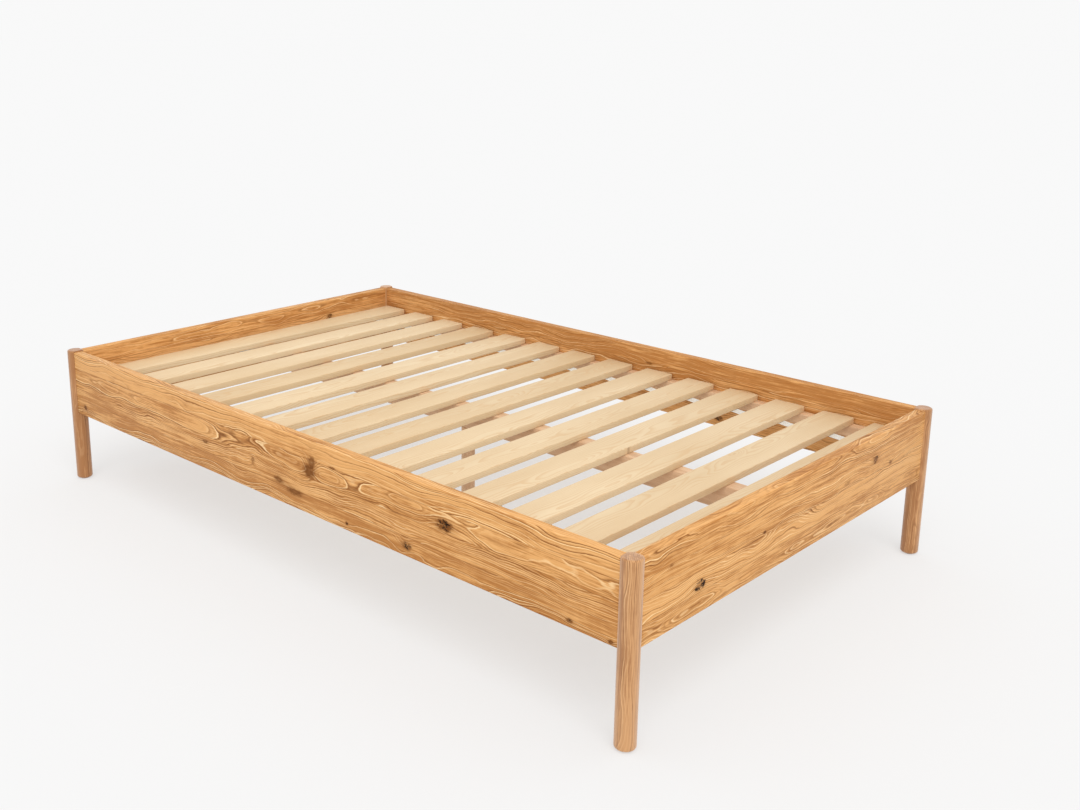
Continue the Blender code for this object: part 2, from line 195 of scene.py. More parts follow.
def noise(point, scale=1.0, detail=2.0, roughness=0.5):
    """Smooth noise from about -1 to 1."""
    inputs = {"Vector": point, "Scale": scale, "Detail": detail, "Roughness": roughness}
    return node(point.tree, "ShaderNodeTexNoise", inputs, normalize=False)


def grain_noise(axes, along_scale, across_scale, detail):
    """Noise drawn out along the grain; the axes are those along, across and through the board."""
    along, across, through = axes
    point = vector(along * along_scale, across * across_scale, through * across_scale)
    return noise(point, detail=detail)


def chance(value):
    """A random number from 0 to 1 for each whole number."""
    return node(value.tree, "ShaderNodeTexWhiteNoise", {"W": value}, noise_dimensions="1D")


def ramp(value, low, high):
    """Rises smoothly from 0 to 1 between two values of a field."""
    inputs = {"Value": value, "From Min": low, "From Max": high}
    return node(value.tree, "ShaderNodeMapRange", inputs, interpolation_type="SMOOTHSTEP")


def fall(value, low, high):
    return 1.0 - ramp(value, low, high)


def blend(share, first, second):
    """A colour between two colours."""
    inputs = {0: share, 6: first, 7: second}
    return node(share.tree, "ShaderNodeMix", inputs, 2, data_type="RGBA")


def bell(point, place, size):
    """A bump of height 1 at a place, which fades over a size along each axis."""
    tree = point.tree
    away = node(tree, "ShaderNodeVectorMath", {0: point, 1: place}, operation="SUBTRACT")
    inverse = tuple(1 / length for length in size)
    away = node(tree, "ShaderNodeVectorMath", {0: away, 1: inverse}, operation="MULTIPLY")
    squared = node(
        tree, "ShaderNodeVectorMath", {0: away, 1: away}, "Value", operation="DOT_PRODUCT"
    )
    return calculate(tree, "EXPONENT", squared * -1.0)


def bumped(height, distance):
    inputs = {"Height": height, "Distance": distance, "Strength": 1.0}
    return node(height.tree, "ShaderNodeBump", inputs)


def new_material(name, slot):
    """An empty material with a Principled shader. Its slot is the record's material slot."""
    material = bpy.data.materials.new(name)
    material.use_nodes = True
    material["slot"] = slot
    return material, material.node_tree, material.node_tree.nodes["Principled BSDF"]


def finish_shader(shader, **inputs):
    """Sets the shader's inputs: a field is linked, a number or colour goes straight on the socket."""
    for name, value in inputs.items():
        feed(shader.id_data, shader.inputs[name.replace("_", " ")], value)


# Wood


# Oak from the darkest rings through two middle tones to the palest
RAIL_COLOURS = (
    (0.205, 0.067, 0.013),
    (0.465, 0.196, 0.053),
    (0.745, 0.392, 0.143),
    (0.97, 0.70, 0.38),
)
LEG_COLOURS = (
    (0.225, 0.092, 0.030),
    (0.370, 0.165, 0.060),
    (0.585, 0.308, 0.132),
    (0.76, 0.47, 0.24),
)
OAK_PORE = (0.13, 0.048, 0.014)
KNOT_BROWN = (0.165, 0.052, 0.006)
# Near-black of the knots' open cracks: the knot's dark wood plus painted shade of the crack's depth
KNOT_CRACK_DARK_AND_SHADE = (0.020, 0.007, 0.001)
PINE_DEEP = (0.63, 0.455, 0.255)
PINE_PALE = (0.76, 0.60, 0.385)
PINE_LATE = (0.60, 0.37, 0.17)
PINE_KNOT = (0.36, 0.17, 0.065)
PINE_KNOT_RIM = (0.16, 0.070, 0.028)
BEECH_DEEP = (0.56, 0.34, 0.19)
BEECH_PALE = (0.72, 0.48, 0.29)
BEECH_FLECK = (0.30, 0.14, 0.06)


def pick(board, values):
    """A number for each stave of a board, from the lowest stave up."""
    total = board * 0.0 + values[0]
    for i in range(1, len(values)):
        step = calculate(board.tree, "GREATER_THAN", board, i - 0.5)
        total = total + step * (values[i] - values[i - 1])
    return total


def oak(
    name, slot, colours, grain, height, depth, seed, staves, gloss,
    sheen=0.0, bottom=0.0, stave=1.0, knots=(),
):
    """Oiled knotty oak, cut from growth rings round a pith that wanders along the board.

    grain, height and depth are the axes along, across and through the board, as (axis, offset).
    Each stave is (pith across, pith behind, ring width, tone), in metres but for the tone. A knot
    is its place along and across the board, its length and width, and how dark and how open it is.
    """
    material, tree, shader = new_material(name, slot)
    dark_oak, middle_oak, light_oak, cream_oak = colours
    place = parts(surface_point(tree))
    along = place[grain[0]] - grain[1]
    across = place[height[0]] - height[1]
    through = place[depth[0]] - depth[1]
    face = vector(along, across, 0.0)

    board = floor_of((across - bottom) / stave)
    across_board = across - bottom - (board + 0.5) * stave
    pith_across, pith_behind, ring_width, board_tone = (
        pick(board, values) for values in zip(*staves)
    )
    shifted = along + board * 5.3 + seed * 1.7
    axes = (shifted, across_board, through)

    # Growth rings
    long_wave = grain_noise(axes, 1.5, 4.0, 1.0)
    flow = grain_noise(axes, 4.5, 11.0, 2.0)
    ripple = grain_noise(axes, 17.0, 55.0, 2.0)
    shiver = grain_noise(axes, 90.0, 400.0, 1.0)
    beside = across_board - pith_across - long_wave * 0.012
    behind = through + pith_behind + long_wave * 0.014 + flow * 0.010
    radius = root_of(beside * beside + behind * behind)
    radius = radius + flow * 0.0110 + ripple * 0.0014 + shiver * 0.00025

    halo = 0.0
    stain = 0.0
    crack = 0.0
    ragged = noise(vector(along * 70.0, across * 130.0, through * 50.0), detail=4.0, roughness=0.65)
    veins = noise(vector(along * 65.0, across * 95.0, through * 40.0), detail=3.0)
    vein = fall(calculate(tree, "ABSOLUTE", veins), 0.02, 0.12)
    for knot_along, knot_across, length, width, dark, open_share in knots:
        spot = (knot_along, knot_across, 0.0)
        hill = bell(face, spot, (length * 2.4, width * 1.9, 1.0))
        core = bell(face, spot, (length * 1.35, width * 1.35, 1.0))
        radius = radius + hill * (0.75 * width)
        halo = halo + hill * dark
        heart = bell(face, spot, (length * 0.45, width * 0.45, 1.0))
        stain = stain + (ramp(core * (ragged * 0.5 + 1.0), 0.12, 0.85) - heart * 0.35) * dark
        if open_share:
            crack = crack + core * (ragged * 0.7 + vein * 0.70 + 0.36) * open_share

    rings = radius / ring_width
    ring = floor_of(rings)
    within = rings - ring
    ring_luck = chance(ring + board * 91.0 + seed)
    late_luck = chance(ring + board * 47.0 + (seed + 0.5))
    patch = grain_noise(axes, 2.6, 17.0, 2.0)
    vivid = ramp(patch, -0.45, 0.40) * 0.65 + 0.35
    early = ramp(within, 0.0, 0.10) * fall(within, 0.12, 0.62)
    early = early * (ring_luck * ring_luck * 0.9 + 0.1) * vivid
    pale = ramp(within, 0.62, 0.84) * fall(within, 0.90, 1.0) * late_luck * late_luck * vivid

    # Pores, fibres and slow changes of tone
    pores = ramp(grain_noise(axes, 50.0, 1300.0, 1.0), 0.12, 0.50) * (early * 0.85 + 0.15)
    fibre = grain_noise(axes, 13.0, 420.0, 3.0)
    cloud = grain_noise(axes, 4.0, 26.0, 3.0)
    figure = grain_noise(axes, 60.0, 50.0, 2.0)
    streak = grain_noise(axes, 7.0, 150.0, 2.0)

    tone = board_tone + cloud * 0.50 + fibre * 0.75 + streak * 0.45 + figure * 0.14
    colour = blend(ramp(tone, 0.0, 1.0), middle_oak, light_oak)
    colour = blend(early * 0.95, colour, dark_oak)
    colour = blend(pale * 0.95, colour, cream_oak)
    colour = blend(pores * 0.50, colour, OAK_PORE)
    if len(staves) > 1:
        up = across - bottom
        inside = ramp(up, 0.3 * stave, 0.4 * stave)
        inside = inside * fall(up, (len(staves) - 0.4) * stave, (len(staves) - 0.3) * stave)
        from_joint = 0.5 * stave - calculate(tree, "ABSOLUTE", across_board)
        colour = blend(fall(from_joint, 0.0002, 0.0010) * inside * 0.55, colour, dark_oak)
    relief = early * -0.55 + pores * -1.0 + fibre * 0.35
    if knots:
        colour = blend(ramp(halo, 0.1, 1.3) * 0.55, colour, dark_oak)
        colour = blend(ramp(stain, 0.0, 1.0) * 0.95, colour, KNOT_BROWN)
        # Open cracks: dark knot wood plus painted shade of their depth; the mesh has no recess here, only a
        # bump sinks them
        crack = ramp(crack, 0.40, 0.52)
        colour = blend(crack, colour, KNOT_CRACK_DARK_AND_SHADE)
        relief = relief - crack * 2.5

    rough = fibre * 0.05 + early * 0.08 + (0.52 - 0.30 * gloss)
    finish_shader(
        shader,
        Base_Color=colour,
        Roughness=rough,
        Normal=bumped(relief, 0.00012),
        Specular_IOR_Level=gloss,
        Sheen_Weight=sheen,
    )
    return material


def pine(name, pitch, first):
    """Planed pine slats with small knots; each slat is cut from another place."""
    material, tree, shader = new_material(name, "pine")
    x, y, z = parts(surface_point(tree))
    slat = floor_of((y - first) / pitch + 0.5)
    y = y - first - slat * pitch
    luck = [chance(slat + 13.3 * i + 0.4) for i in range(4)]
    shifted = x + slat * 3.1
    axes = (shifted, y, z)

    flow = grain_noise(axes, 2.2, 9.0, 2.0)
    ripple = grain_noise(axes, 16.0, 60.0, 1.0)
    beside = y - (luck[0] - 0.5) * 0.09
    behind = z - 0.30 + luck[1] * 0.03 + flow * 0.012
    radius = root_of(beside * beside + behind * behind) + flow * 0.004 + ripple * 0.0007

    cells = vector(shifted * 3.4, y * 9.0 + slat * 5.0, 0.0)
    spot = node(tree, "ShaderNodeTexVoronoi", {"Vector": cells, "Scale": 1.0}, "Distance")
    spot_luck = node(tree, "ShaderNodeTexVoronoi", {"Vector": cells, "Scale": 1.0}, "Color")
    has_knot = ramp(parts(spot_luck)[0], 0.50, 0.52)
    ragged = noise(vector(x * 110.0, y * 110.0, slat), detail=2.0)
    near = spot + ragged * 0.006
    hill = fall(near, 0.0, 0.22) * has_knot
    core = fall(near, 0.030, 0.042) * has_knot
    rim = ramp(near, 0.024, 0.034) * fall(near, 0.036, 0.060) * has_knot
    radius = radius + hill * 0.012

    rings = radius / (luck[2] * 0.0015 + 0.0024)
    within = rings - floor_of(rings)
    late = ramp(within, 0.35, 0.92) * fall(within, 0.94, 1.0)
    fibre = grain_noise(axes, 20.0, 800.0, 2.0)
    cloud = grain_noise(axes, 2.5, 12.0, 2.0)
    tone = luck[3] * 0.5 + cloud * 0.3 + fibre * 0.12 + 0.25
    colour = blend(ramp(tone, 0.0, 1.0), PINE_DEEP, PINE_PALE)
    colour = blend(late * 0.48, colour, PINE_LATE)
    colour = blend(core * 0.80, colour, PINE_KNOT)
    colour = blend(rim * 0.70, colour, PINE_KNOT_RIM)
    relief = late * 0.5 + fibre * 0.35 + core * 0.6
    rough = fibre * 0.05 + 0.58
    finish_shader(
        shader, Base_Color=colour, Roughness=rough, Normal=bumped(relief, 0.00014)
    )
    return material


def beech(name, grain):
    """Steamed beech with its short dark flecks, the grain running along one axis."""
    material, tree, shader = new_material(name, "beech")
    place = parts(surface_point(tree))
    along = place.pop(grain)
    axes = (along, *place)
    cloud = grain_noise(axes, 6.0, 60.0, 3.0)
    fleck = ramp(grain_noise(axes, 330.0, 1500.0, 0.0), 0.38, 0.62)
    fibre = grain_noise(axes, 30.0, 700.0, 2.0)
    tone = cloud * 0.5 + fibre * 0.2 + 0.5
    colour = blend(ramp(tone, 0.0, 1.0), BEECH_DEEP, BEECH_PALE)
    colour = blend(fleck * 0.55, colour, BEECH_FLECK)
    relief = fibre * 0.4 - fleck * 0.5
    finish_shader(
        shader, Base_Color=colour, Roughness=fibre * 0.05 + 0.50, Normal=bumped(relief, 0.0001)
    )
    return material


# Metal, tape and felt


ZINC_BLUE = (0.57, 0.585, 0.61)
ZINC_WARM = (0.64, 0.63, 0.60)
# The first tape colour is painted shade for the weave's low parts; the second is the tape's own white
TAPE_PAINTED_SHADE = (0.46, 0.44, 0.39)
TAPE_WHITE = (0.82, 0.80, 0.74)
TAPE_DIRT = (0.55, 0.50, 0.42)
FELT_DARK = (0.10, 0.072, 0.050)
FELT_LIGHT = (0.26, 0.195, 0.145)


def zinc_steel():
    """Bright zinc plate: pale grey, with faint warm and blue patches and fine drawn scratches."""
    material, tree, shader = new_material("zinc_steel", "zinc_steel")
    point = surface_point(tree)
    patch = noise(point, 60.0, 2.0)
    x, y, z = parts(point)
    drawn = noise(vector(x * 500.0, y * 500.0, z * 4000.0), detail=2.0)
    colour = blend(ramp(patch, -0.6, 0.6), ZINC_BLUE, ZINC_WARM)
    rough = patch * 0.03 + drawn * 0.05 + 0.36
    finish_shader(
        shader,
        Base_Color=colour,
        Roughness=rough,
        Normal=bumped(drawn, 0.00003),
        Metallic=1.0,
    )
    return material


def webbing():
    """A plain-woven polyester tape: ends along y over and under picks along x, with painted shade in the
    weave's low parts.
    """
    material, tree, shader = new_material("webbing", "webbing")
    x, y, z = parts(surface_point(tree))
    end_turn = x * (2 * math.pi / 0.0022)
    pick_turn = y * (2 * math.pi / 0.0018)
    weave = calculate(tree, "SINE", end_turn) * calculate(tree, "SINE", pick_turn)
    strand = calculate(tree, "ABSOLUTE", calculate(tree, "SINE", end_turn * 0.5))
    yarn = grain_noise((x, y, z), 2500.0, 500.0, 2.0)
    dirt = noise(vector(x * 30.0, y * 9.0, 0.0), detail=3.0)
    height = weave * 0.5 + strand * 0.5 + yarn * 0.12
    # The colour follows the weave's height: painted shade darkens the low parts between the raised yarns
    painted_weave_shade = ramp(height, -0.5, 0.9)
    colour = blend(painted_weave_shade, TAPE_PAINTED_SHADE, TAPE_WHITE)
    colour = blend(ramp(dirt, 0.1, 0.8) * 0.25, colour, TAPE_DIRT)
    normal = bumped(height, 0.0003)
    finish_shader(shader, Base_Color=colour, Normal=normal, Roughness=0.85, Sheen_Weight=0.25)
    return material


def felt():
    """Pressed brown felt with crossing fibres."""
    material, tree, shader = new_material("felt", "felt")
    point = surface_point(tree)
    clump = noise(point, 900.0, 4.0, 0.7)
    hair = noise(point, 3500.0, 2.0)
    colour = blend(ramp(clump + hair * 0.5, -0.7, 0.7), FELT_DARK, FELT_LIGHT)
    normal = bumped(clump + hair, 0.0004)
    finish_shader(shader, Base_Color=colour, Normal=normal, Roughness=0.95, Sheen_Weight=0.5)
    return material


# Shapes


Z_TO_X = Matrix.Rotation(math.pi / 2, 4, "Y")
X_TO_Z = Matrix.Rotation(-math.pi / 2, 4, "Y")


def box_shape(low, high):
    low = Vector(low)
    high = Vector(high)
    size = Matrix.Diagonal((*(high - low), 1))
    shape = bmesh.new()
    bmesh.ops.create_cube(shape, size=1, matrix=Matrix.Translation((low + high) / 2) @ size)
    return shape


def arc(centre, radius, start, end, steps):
    """Points of an arc, angles in degrees."""
    angles = [math.radians(start + (end - start) * i / steps) for i in range(steps + 1)]
    return [(centre[0] + radius * math.cos(a), centre[1] + radius * math.sin(a)) for a in angles]


def skinned(rings):
    """A shape skinned over a row of closed rings of points, with both ends closed."""
    shape = bmesh.new()
    made = [[shape.verts.new(point) for point in ring] for ring in rings]
    for lower, upper in zip(made, made[1:]):
        for i in range(len(lower)):
            j = (i + 1) % len(lower)
            shape.faces.new((lower[i], lower[j], upper[j], upper[i]))
    shape.faces.new(reversed(made[0]))
    shape.faces.new(made[-1])
    return shape


def turned(profile, segments, matrix=None):
    """Turns (radius, height) points about z, with flat ends."""
    matrix = matrix or Matrix()
    angles = [2 * math.pi * i / segments for i in range(segments)]
    return skinned(
        [matrix @ Vector((radius * math.cos(a), radius * math.sin(a), height)) for a in angles]
        for radius, height in profile
    )


def post_profile(radius, bottom, top, bottom_edge, top_edge, steps):
    """A round post's profile with rounded rims, the steps given for the bottom and the top one."""
    profile = arc((radius - bottom_edge, bottom + bottom_edge), bottom_edge, -90, 0, steps[0])
    return profile + arc((radius - top_edge, top - top_edge), top_edge, 0, 90, steps[1])


def extruded(outline, direction):
    """A flat outline of 3-D points, extruded along a vector."""
    shape = bmesh.new()
    face = shape.faces.new([shape.verts.new(point) for point in outline])
    grown = bmesh.ops.extrude_face_region(shape, geom=[face], use_keep_orig=True)
    moved = [item for item in grown["geom"] if isinstance(item, bmesh.types.BMVert)]
    bmesh.ops.translate(shape, verts=moved, vec=direction)
    return shape


def bevel_edges(shape, edges, offset, steps):
    bmesh.ops.bevel(
        shape, geom=edges, offset=offset, segments=steps, profile=0.5, affect="EDGES"
    )


def eased_bar(low, high, edge, end_edge):
    """A bar with rounded long edges and finely eased ends."""
    shape = box_shape(low, high)
    size = Vector(high) - Vector(low)
    longest = max(range(3), key=lambda axis: size[axis])
    long_edges = [line for line in shape.edges if line.calc_length() > 0.99 * size[longest]]
    bevel_edges(shape, long_edges, edge, 4)
    ends = (low[longest], high[longest])
    rims = [
        line
        for line in shape.edges
        if any(all(abs(v.co[longest] - end) < GAP / 10 for v in line.verts) for end in ends)
    ]
    bevel_edges(shape, rims, end_edge, 2)
    return shape


def new_object(name, data):
    made = bpy.data.objects.new(name, data)
    bpy.context.scene.collection.objects.link(made)
    return made


def copy_into(shape, other):
    """Adds one bmesh to another and frees it."""
    carrier = bpy.data.meshes.new("carrier")
    other.to_mesh(carrier)
    other.free()
    shape.from_mesh(carrier)
    bpy.data.meshes.remove(carrier)


def helper_object(name, shape):
    bmesh.ops.recalc_face_normals(shape, faces=shape.faces)
    mesh = bpy.data.meshes.new(name)
    shape.to_mesh(mesh)
    shape.free()
    return new_object(name, mesh)


def combine(shape, steps):
    """Joins shapes to a shape or cuts them out of it, in order, and returns the result."""
    block = helper_object("block", shape)
    helpers = [block]
    for operation, other in steps:
        helper = helper_object("helper", other)
        helpers.append(helper)
        modifier = block.modifiers.new("step", "BOOLEAN")
        modifier.operation = operation
        modifier.solver = "EXACT"
        modifier.object = helper
    depsgraph = bpy.context.evaluated_depsgraph_get()
    result = bmesh.new()
    result.from_mesh(block.evaluated_get(depsgraph).to_mesh())
    for helper in helpers:
        mesh = helper.data
        bpy.data.objects.remove(helper)
        bpy.data.meshes.remove(mesh)
    return result


def cut(shape, *cutters):
    return combine(shape, [("DIFFERENCE", cutter) for cutter in cutters])


def make_mesh(name, shape, material):
    bmesh.ops.recalc_face_normals(shape, faces=shape.faces)
    mesh = bpy.data.meshes.new(name)
    shape.to_mesh(mesh)
    shape.free()
    mesh.materials.append(material)
    mesh.shade_smooth()
    mesh.set_sharp_from_angle(angle=SMOOTH_ANGLE)
    return mesh


def make_piece(name, mesh, body, nodes=(), matrix=None):
    """Places a finished piece, which moves with a body and stands for CAD nodes."""
    piece = new_object(name, mesh)
    piece.matrix_world = matrix or Matrix()
    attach(piece, body)
    if nodes:
        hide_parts(*nodes)
    return piece


def stand_for(node_name, shape, material, body="frame"):
    """A finished piece in place of one CAD node, from a shape in the bed's own axes."""
    return make_piece(f"{node_name}_finished", make_mesh(node_name, shape, material), body, [node_name])


# Rail joints


def rail_joints():
    """Each rail joint's axes, x along the rail from the leg's axis, y into the bed, and bolt height."""
    joints = {}
    for end_name, end in ENDS.items():
        for side_name, side in SIDES.items():
            corner = f"{end_name}_{side_name}"
            axis = middle_of(f"felt_pad_{corner}")
            along_length = Vector((0, -end, 0))
            along_width = Vector((-side, 0, 0))
            for kind, axes in (
                ("side", (along_length, along_width)),
                ("end", (along_width, along_length)),
            ):
                matrix = Matrix((*axes, (0, 0, 1))).transposed().to_4x4()
                matrix.translation = (axis.x, axis.y, 0)
                name = f"{corner}_{kind}"
                joints[name] = (matrix, middle_of(f"rail_nut_{name}").z)
    return joints


def tenon(matrix, clearance, into_rail):
    half = TENON_THICKNESS / 2 + clearance
    start = LEG_FLAT + GAP - TENON_LENGTH - clearance
    low = (start, -half, TENON_BOTTOM - clearance)
    high = (LEG_FLAT + GAP + into_rail, half, TENON_TOP + clearance)
    block = box_shape(low, high)
    block.transform(matrix)
    return block


def bores_and_pockets(joints):
    """The bolt bores and the nut pockets of some joints, each pocket's mouth finely eased."""
    bores = bmesh.new()
    pockets = bmesh.new()
    ease = 0.0008
    mouth = HALF_RAIL + GAP
    for name, (matrix, height) in joints.items():
        bolt_low, bolt_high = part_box(f"rail_bolt_{name}")
        length = max(bolt_high - bolt_low)
        along_x = matrix @ Matrix.Translation((BOLT_START, 0, height)) @ Z_TO_X
        bore = turned([(BORE_RADIUS, -GAP), (BORE_RADIUS, length + GAP)], 32, along_x)
        copy_into(bores, bore)
        into = matrix @ Matrix.Translation((POCKET_PLACE, 0, height)) @ Matrix.Rotation(-math.pi / 2, 4, "X")
        profile = [
            (POCKET_RADIUS - 0.0004, POCKET_FLOOR),
            (POCKET_RADIUS, POCKET_FLOOR + 0.0004),
            (POCKET_RADIUS, mouth - ease),
            (POCKET_RADIUS + ease, mouth),
            (POCKET_RADIUS + ease, mouth + 0.004),
        ]
        copy_into(pockets, turned(profile, 72, into))
    return bores, pockets


def thread_radius(along, turn, threads):
    """A bolt's radius at a place along it and an angle round it, in turns."""
    for start, end, pitch, depth in threads:
        if start <= along <= end:
            phase = (along / pitch - turn) % 1
            tip = min(1, (end - along) / pitch + 0.25)
            return BOLT_RADIUS - depth + depth * tip * (1 - abs(2 * phase - 1))
    return BOLT_RADIUS


def rod(start, end, threads):
    """A bolt's rod along x, threaded over some stretches, each (start, end, pitch, depth)."""
    segments = 24
    chamfer = 0.0008
    step = M8_PITCH / 6
    stations = [start]
    for first, last, *_ in threads:
        count = round((last - first) / step)
        stations += [first + (last - first) * i / count for i in range(count + 1)]
    stations = sorted({round(place, 6) for place in stations} | {end})
    rings = []
    for along in stations:
        ring = []
        limit = BOLT_RADIUS - chamfer + min(along - start, end - along)
        for i in range(segments):
            angle = 2 * math.pi * i / segments
            width = min(limit, thread_radius(along, i / segments, threads))
            ring.append((along, width * math.cos(angle), width * math.sin(angle)))
        rings.append(ring)
    return skinned(rings)


def joint_hardware(joints, steel):
    """Hanger bolts, half-moon washers and hex nuts of the eight rail joints."""
    low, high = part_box("rail_bolt_foot_left_side")
    length = max(high - low)
    end = BOLT_START + length
    wood_thread = (BOLT_START, WOOD_THREAD_END, WOOD_PITCH, WOOD_DEPTH)
    machine_thread = (MACHINE_THREAD_START, end, M8_PITCH, M8_DEPTH)
    bolt = rod(BOLT_START, end, [wood_thread, machine_thread])
    bolt_mesh = make_mesh("hanger_bolt", bolt, steel)

    half_angle = math.degrees(math.acos(WASHER_CHORD / WASHER_RADIUS))
    curve = arc((POCKET_PLACE, 0), WASHER_RADIUS, 180 - half_angle, 180 + half_angle, 28)
    half = WASHER_WIDTH / 2
    washer = extruded([(along, -half, up) for along, up in curve], (0, WASHER_WIDTH, 0))
    rims = [line for line in washer.edges if line.calc_face_angle(0) > math.radians(45)]
    bevel_edges(washer, rims, 0.0005, 2)
    bore = turned([(BORE_RADIUS, 0), (BORE_RADIUS, 2 * POCKET_PLACE)], 32, Z_TO_X)
    washer_mesh = make_mesh("half_moon_washer", cut(washer, bore), steel)

    low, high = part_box("rail_nut_foot_left_side")
    matrix, _ = joints["foot_left_side"]
    places = [(matrix.inverted() @ corner).x for corner in (low, high)]
    nut_mesh = make_mesh("hex_nut", hex_nut(min(places), max(places)), steel)

    for name, (matrix, height) in joints.items():
        at_height = matrix @ Matrix.Translation((0, 0, height))
        for kind, mesh in (
            ("rail_bolt", bolt_mesh),
            ("half_moon_washer", washer_mesh),
            ("rail_nut", nut_mesh),
        ):
            node_name = f"{kind}_{name}"
            make_piece(f"{node_name}_finished", mesh, "frame", [node_name], at_height)


def hex_nut(start, end):
    """A chamfered hex nut along x with a bore."""
    corner = NUT_ACROSS_FLATS / math.sqrt(3)
    flat = NUT_ACROSS_FLATS / 2
    drop = (corner - flat) * 0.55
    shape = turned([(corner, start), (corner, end)], 6, Z_TO_X)
    profile = [
        (flat * 0.96, start),
        (corner + GAP, start + drop),
        (corner + GAP, end - drop),
        (flat * 0.96, end),
    ]
    lens = turned(profile, 60, Z_TO_X)
    ease = 0.0006
    profile = [
        (BOLT_RADIUS + ease, start - GAP),
        (BOLT_RADIUS + GAP / 3, start + ease),
        (BOLT_RADIUS + GAP / 3, end - ease),
        (BOLT_RADIUS + ease, end + GAP),
    ]
    bore = turned(profile, 32, Z_TO_X)
    return combine(shape, [("INTERSECT", lens), ("DIFFERENCE", bore)])


# Legs and rails


def build_legs(joints, materials):
    for corner, material in materials.items():
        low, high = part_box(f"leg_{corner}")
        axis = middle_of(f"felt_pad_{corner}")
        radius = max(abs(low.x - axis.x), abs(high.x - axis.x))
        edges = (LEG_FOOT_ROUNDING, LEG_TOP_ROUNDING)
        profile = post_profile(radius, low.z, high.z, *edges, (12, 10))
        shape = turned(profile, 120, Matrix.Translation((axis.x, axis.y, 0)))
        mine = {name: joint for name, joint in joints.items() if name.startswith(corner)}
        flats = []
        mortises = bmesh.new()
        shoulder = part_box("foot_rail")[0].z - GAP
        reach = 2 * radius
        for matrix, _ in mine.values():
            block = box_shape((LEG_FLAT, -reach, shoulder), (reach, reach, high.z + reach))
            block.transform(matrix)
            flats.append(block)
            copy_into(mortises, tenon(matrix, GAP, GAP))
        bores, pockets = bores_and_pockets(mine)
        pockets.free()
        stand_for(f"leg_{corner}", cut(shape, *flats, mortises, bores), material)


def build_pads(material):
    for end in ENDS:
        for side in SIDES:
            node_name = f"felt_pad_{end}_{side}"
            low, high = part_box(node_name)
            middle = (low + high) / 2
            radius = (high.x - low.x) / 2
            profile = post_profile(radius, low.z, high.z, PAD_EDGE, PAD_EDGE, (4, 4))
            shape = turned(profile, 64, Matrix.Translation((middle.x, middle.y, 0)))
            stand_for(node_name, shape, material)


def screw_hole(face, direction, countersunk, depth):
    """The hole of a wood screw, its mouth at a point of a face."""
    profile = [(SCREW_HOLE_RADIUS, depth)]
    if countersunk:
        profile += [(SCREW_HOLE_RADIUS, COUNTERSINK_DEPTH), (COUNTERSINK_RADIUS, 0)]
    profile.append((profile[-1][0], -0.006))
    turn = Vector(direction).to_track_quat("Z", "Y").to_matrix().to_4x4()
    return turned(profile, 32, Matrix.Translation(face) @ turn)


def screw_holes(places, countersunk, depth):
    holes = bmesh.new()
    for face, direction in places:
        copy_into(holes, screw_hole(face, direction, countersunk, depth))
    return holes


def ledger_screw_places():
    """The mouth and direction of each ledger screw, by side."""
    places = {}
    for name, side in SIDES.items():
        low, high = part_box(f"slat_ledger_{name}")
        inner = low.x if side > 0 else high.x
        reach = high.y - LEDGER_SCREW_INSET
        height = (low.z + high.z) / 2
        places[name] = [
            ((inner, reach * (2 * i / (LEDGER_SCREWS - 1) - 1), height), (side, 0, 0))
            for i in range(LEDGER_SCREWS)
        ]
    return places


def shoe_screw_places():
    """The mouth and direction of each beam shoe screw, by end."""
    places = {}
    for name, end in ENDS.items():
        low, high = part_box(f"beam_shoe_{name}")
        beam_low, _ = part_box("middle_beam")
        face = (high.y if end > 0 else low.y) - end * SHOE_STEEL
        across = high.x - SHOE_WING / 2
        rise = high.z - beam_low.z
        places[name] = [
            ((side * across, face, beam_low.z + rise * share), (0, end, 0))
            for side in (-1, 1)
            for share in (0.25, 0.75)
        ]
    return places


def build_rails(joints, materials, ledger_places, shoe_places):
    for rail, material in materials.items():
        low, high = (Vector(corner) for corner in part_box(rail))
        is_side = rail.startswith("side")
        axis = 1 if is_side else 0
        low[axis] += TENON_LENGTH
        high[axis] -= TENON_LENGTH
        shape = eased_bar(low, high, RAIL_EDGE, 0.0004)
        word = rail.split("_")[-1] if is_side else rail.split("_")[0]
        mine = {
            name: joint
            for name, joint in joints.items()
            if name.endswith("side" if is_side else "end") and word in name
        }
        tenons = bmesh.new()
        for matrix, _ in mine.values():
            copy_into(tenons, tenon(matrix, 0.0, TENON_LENGTH))
        bores, pockets = bores_and_pockets(mine)
        if is_side:
            ledger_low, ledger_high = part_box(f"slat_ledger_{word}")
            depth = SCREW_HOLE_DEPTH + ledger_high.x - ledger_low.x
            holes = screw_holes(ledger_places[word], False, depth)
        else:
            holes = screw_holes(shoe_places[word], False, SCREW_HOLE_DEPTH + SHOE_STEEL)
        steps = [("UNION", tenons)]
        steps += [("DIFFERENCE", cutter) for cutter in (bores, pockets, holes)]
        stand_for(rail, combine(shape, steps), material)


# Ledgers, middle beam and their fasteners


def cross_recess(depth, length, width):
    """The cuts of a screwdriver's cross, its mouth at z = 0, going down."""
    top = [(-length / 2, -width / 2), (length / 2, -width / 2)]
    top += [(x, -y) for x, y in reversed(top)]
    bottom = [(x * 0.35, y * 0.6) for x, y in top]
    arms = []
    for turn in (0, math.pi / 2):
        arm = skinned([[(x, y, -depth) for x, y in bottom], [(x, y, GAP) for x, y in top]])
        arm.transform(Matrix.Rotation(turn, 4, "Z"))
        arms.append(arm)
    return arms


